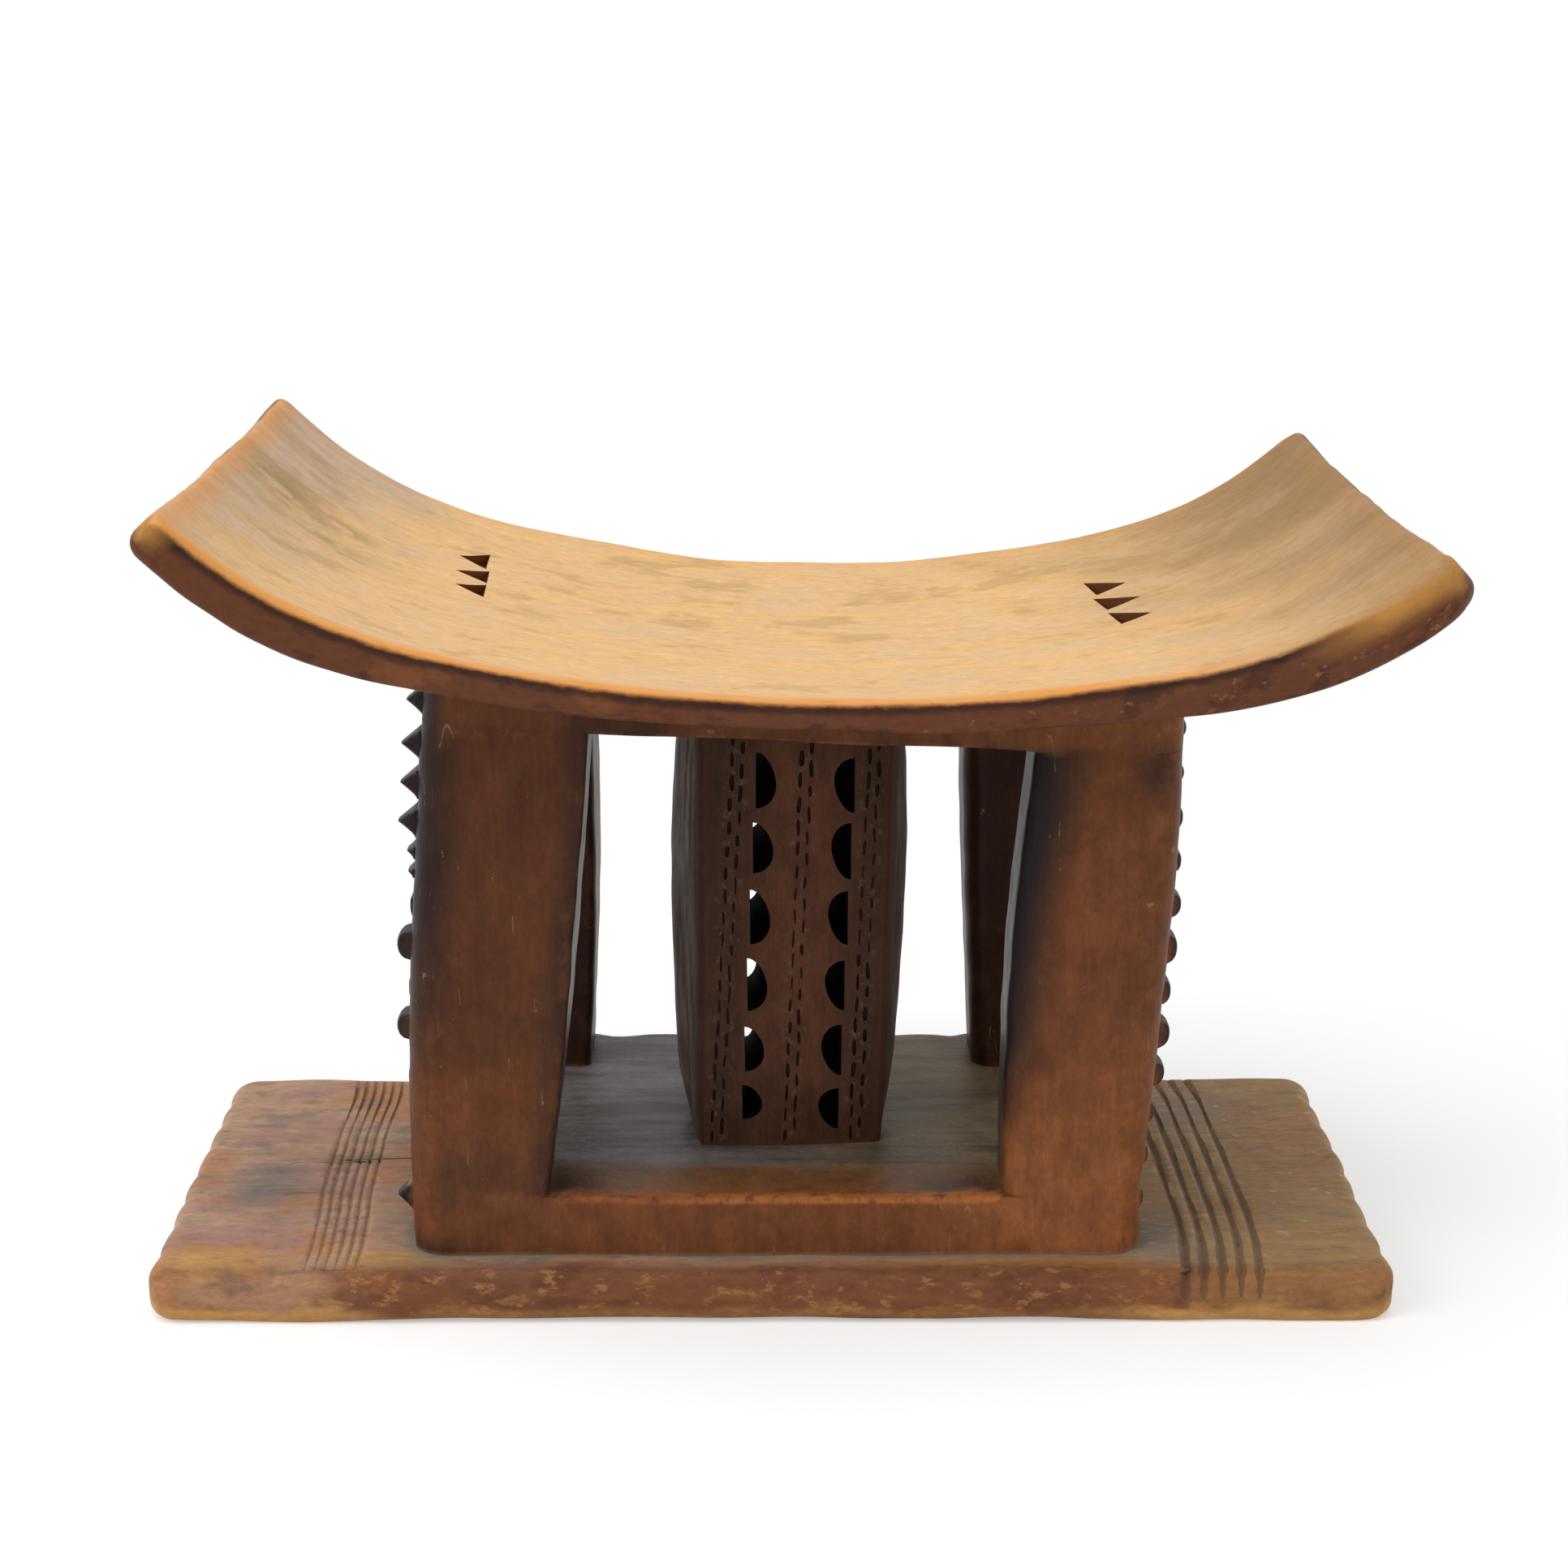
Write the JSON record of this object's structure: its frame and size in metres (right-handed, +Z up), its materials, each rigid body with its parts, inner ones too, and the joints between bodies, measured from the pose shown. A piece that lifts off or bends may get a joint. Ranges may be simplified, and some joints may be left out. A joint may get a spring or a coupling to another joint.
{
  "type": "stool",
  "caption": "Carved wooden stool in the Asante form: curved seat on corner legs with rows of teeth and a pierced centre column, over a plinth and a flat base board.",
  "frame": {"origin": "centre of the base board's underside, on the floor", "axes": "+X along the stool to its right end, +Y to its back, +Z up"},
  "size_m": [0.5447, 0.3272, 0.361],
  "materials": {
    "base_wood": "worn satin patina with dust in the corners",
    "plinth_wood": "satin patina, worn orange along the top edge",
    "leg_wood": "hand-polished dark red-brown patina",
    "column_wood": "dark satin patina",
    "seat_wood": "pale rubbed wood on the top, dark maroon-brown on the edges"
  },
  "bodies": {
    "root": {"base_board": "base_wood", "plinth": "plinth_wood", "leg_front_left": "leg_wood", "leg_front_right": "leg_wood", "leg_back_left": "leg_wood", "leg_back_right": "leg_wood", "centre_column": "column_wood", "under_block": "leg_wood", "seat": "seat_wood"}
  },
  "joints": []
}
